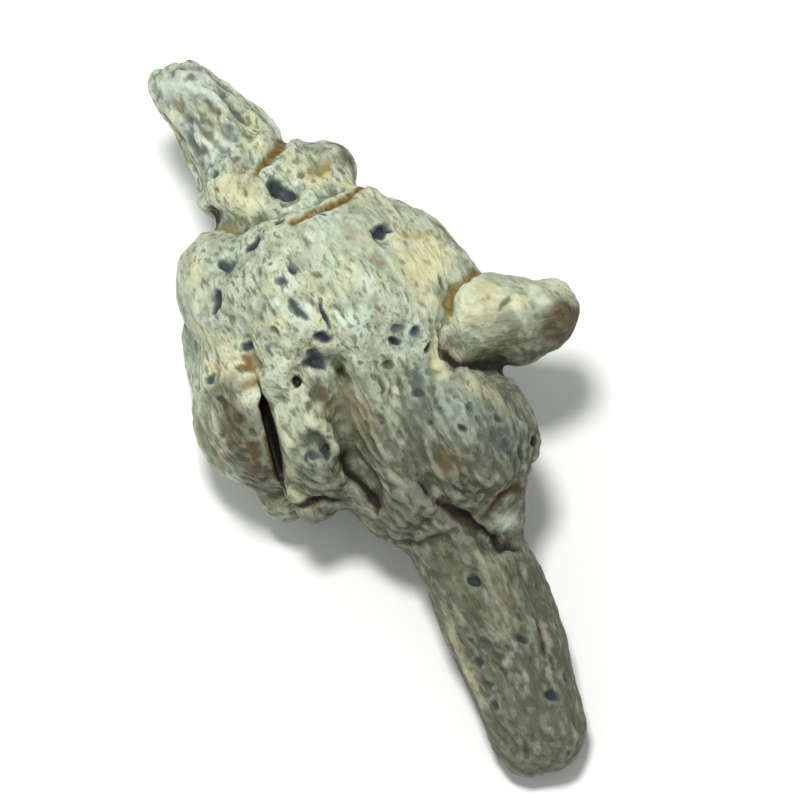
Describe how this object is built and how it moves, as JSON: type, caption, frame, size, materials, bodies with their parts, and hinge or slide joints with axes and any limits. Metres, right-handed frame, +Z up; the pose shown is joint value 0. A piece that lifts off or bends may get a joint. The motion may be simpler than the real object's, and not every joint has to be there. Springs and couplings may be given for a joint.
{
  "type": "notoginseng root",
  "caption": "Whole dried notoginseng root lying on its side: wrinkled stem stub, ringed collar, knobbly swollen body, a stout side rootlet and a thick leg.",
  "frame": {"origin": "on the table, under the middle of the root's box", "axes": "+X along the root from the stem stub to the leg, +Y towards the side rootlet, +Z up from the table"},
  "size_m": [0.0646, 0.0306, 0.0224],
  "materials": {
    "dried_skin": "dull dry root skin, grey-green cream with blue-grey patches and brown creases"
  },
  "bodies": {
    "root": {"notoginseng_root": "dried_skin"}
  },
  "joints": []
}
